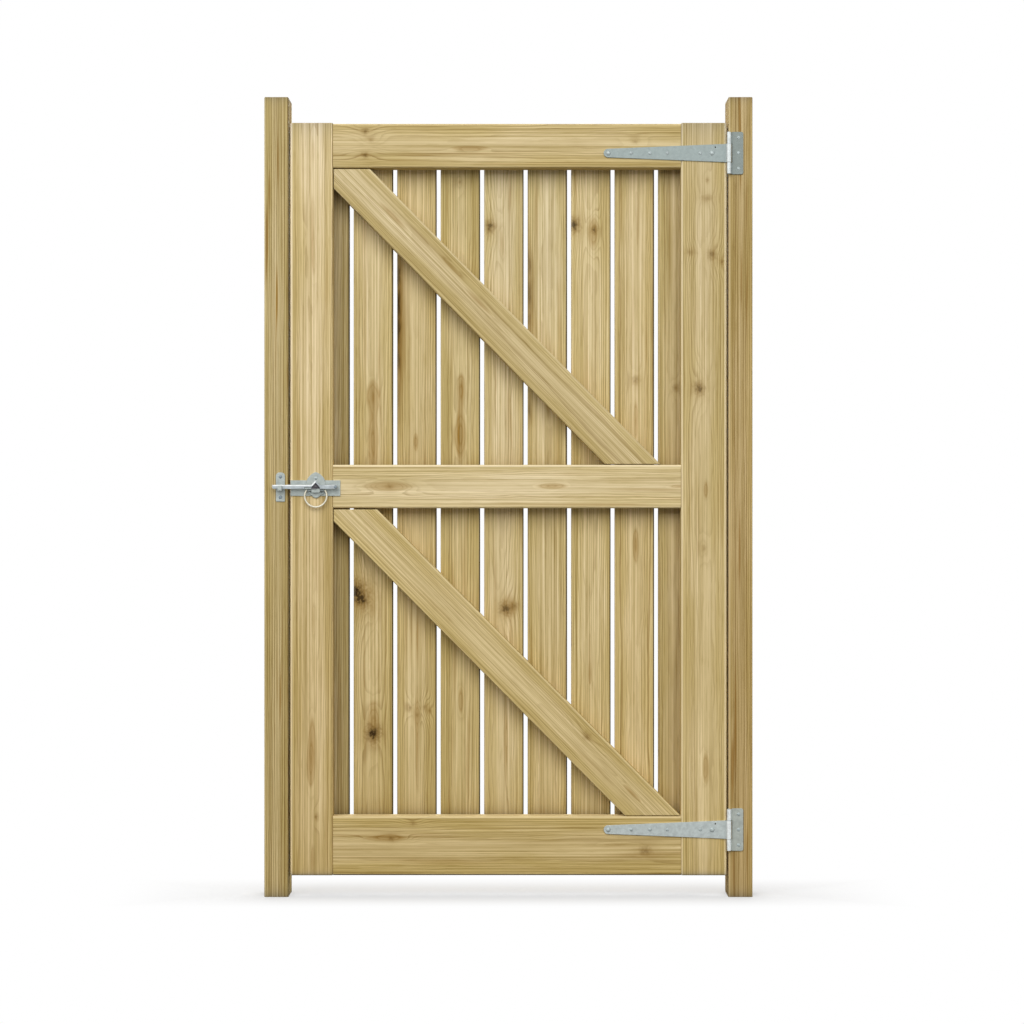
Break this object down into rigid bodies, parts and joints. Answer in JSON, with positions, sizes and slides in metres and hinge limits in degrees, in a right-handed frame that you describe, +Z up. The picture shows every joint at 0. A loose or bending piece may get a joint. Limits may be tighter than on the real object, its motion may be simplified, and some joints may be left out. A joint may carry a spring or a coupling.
{
  "type": "framed and braced timber gate with posts",
  "caption": "Framed, braced timber side gate with upright pales, hung between two posts on tee hinges and closed by a ring latch whose ring lifts a bar out of a keep.",
  "frame": {"origin": "on the ground, midway between the outer faces of the posts and midway through the depth", "axes": "+X from the latch post to the hinge post, +Y from the face with the hinges to the back, +Z up"},
  "size_m": [1.172, 0.117, 1.92],
  "materials": {
    "treated_timber": "planed softwood, pressure treated, matt",
    "galvanised_steel": "galvanised, dull spangle",
    "nail_steel": "galvanised wire nails"
  },
  "bodies": {
    "posts": {"latch_post": "treated_timber", "hinge_post": "treated_timber", "latch_keep": "galvanised_steel", "keep_screws": "galvanised_steel", "upper_hinge_flap": "galvanised_steel", "lower_hinge_flap": "galvanised_steel", "flap_screws": "galvanised_steel", "upper_hinge_pin": "galvanised_steel", "lower_hinge_pin": "galvanised_steel"},
    "leaf": {"latch_stile": "treated_timber", "hinge_stile": "treated_timber", "top_rail": "treated_timber", "middle_rail": "treated_timber", "bottom_rail": "treated_timber", "upper_brace": "treated_timber", "lower_brace": "treated_timber", "pale_1": "treated_timber", "pale_2": "treated_timber", "pale_3": "treated_timber", "pale_4": "treated_timber", "pale_5": "treated_timber", "pale_6": "treated_timber", "pale_7": "treated_timber", "pale_8": "treated_timber", "pale_9": "treated_timber", "pale_nails": "nail_steel", "upper_hinge_strap": "galvanised_steel", "lower_hinge_strap": "galvanised_steel", "strap_screws": "galvanised_steel", "strap_coach_screws": "galvanised_steel", "latch_plate": "galvanised_steel", "latch_shield": "galvanised_steel", "shield_screws": "galvanised_steel", "bar_pivot": "galvanised_steel", "bar_spacer": "galvanised_steel", "rear_rose": "galvanised_steel", "rose_screws": "galvanised_steel"},
    "bar": {"latch_bar": "galvanised_steel"},
    "handle": {"ring_spindle": "galvanised_steel", "lift_cam": "galvanised_steel", "front_ring_boss": "galvanised_steel", "rear_ring_boss": "galvanised_steel"},
    "front_ring": {"front_ring": "galvanised_steel"},
    "rear_ring": {"rear_ring": "galvanised_steel"}
  },
  "joints": [
    {"name": "gate_swing", "type": "hinge", "parent": "posts", "child": "leaf", "pos_m": [0.5285, -0.0431, 0.9735], "axis": [0, 0, 1], "range_deg": [0, 170]},
    {"name": "handle_turn", "type": "hinge", "parent": "leaf", "child": "handle", "pos_m": [-0.4618, -0.0365, 0.984], "axis": [0, 1, 0], "range_deg": [0, 30]},
    {"name": "bar_lift", "type": "hinge", "parent": "leaf", "child": "bar", "pos_m": [-0.4138, -0.0509, 0.984], "axis": [0, 1, 0], "range_deg": [0, 10]},
    {"name": "front_ring_swing", "type": "hinge", "parent": "handle", "child": "front_ring", "pos_m": [-0.4618, -0.045, 0.9752], "axis": [-1, 0, 0], "range_deg": [0, 90]},
    {"name": "rear_ring_swing", "type": "hinge", "parent": "handle", "child": "rear_ring", "pos_m": [-0.4618, 0.031, 0.9752], "axis": [1, 0, 0], "range_deg": [0, 90]}
  ],
  "couplings": [
    {"joint": "bar_lift", "follows": "handle_turn", "ratio": 0.33333}
  ]
}
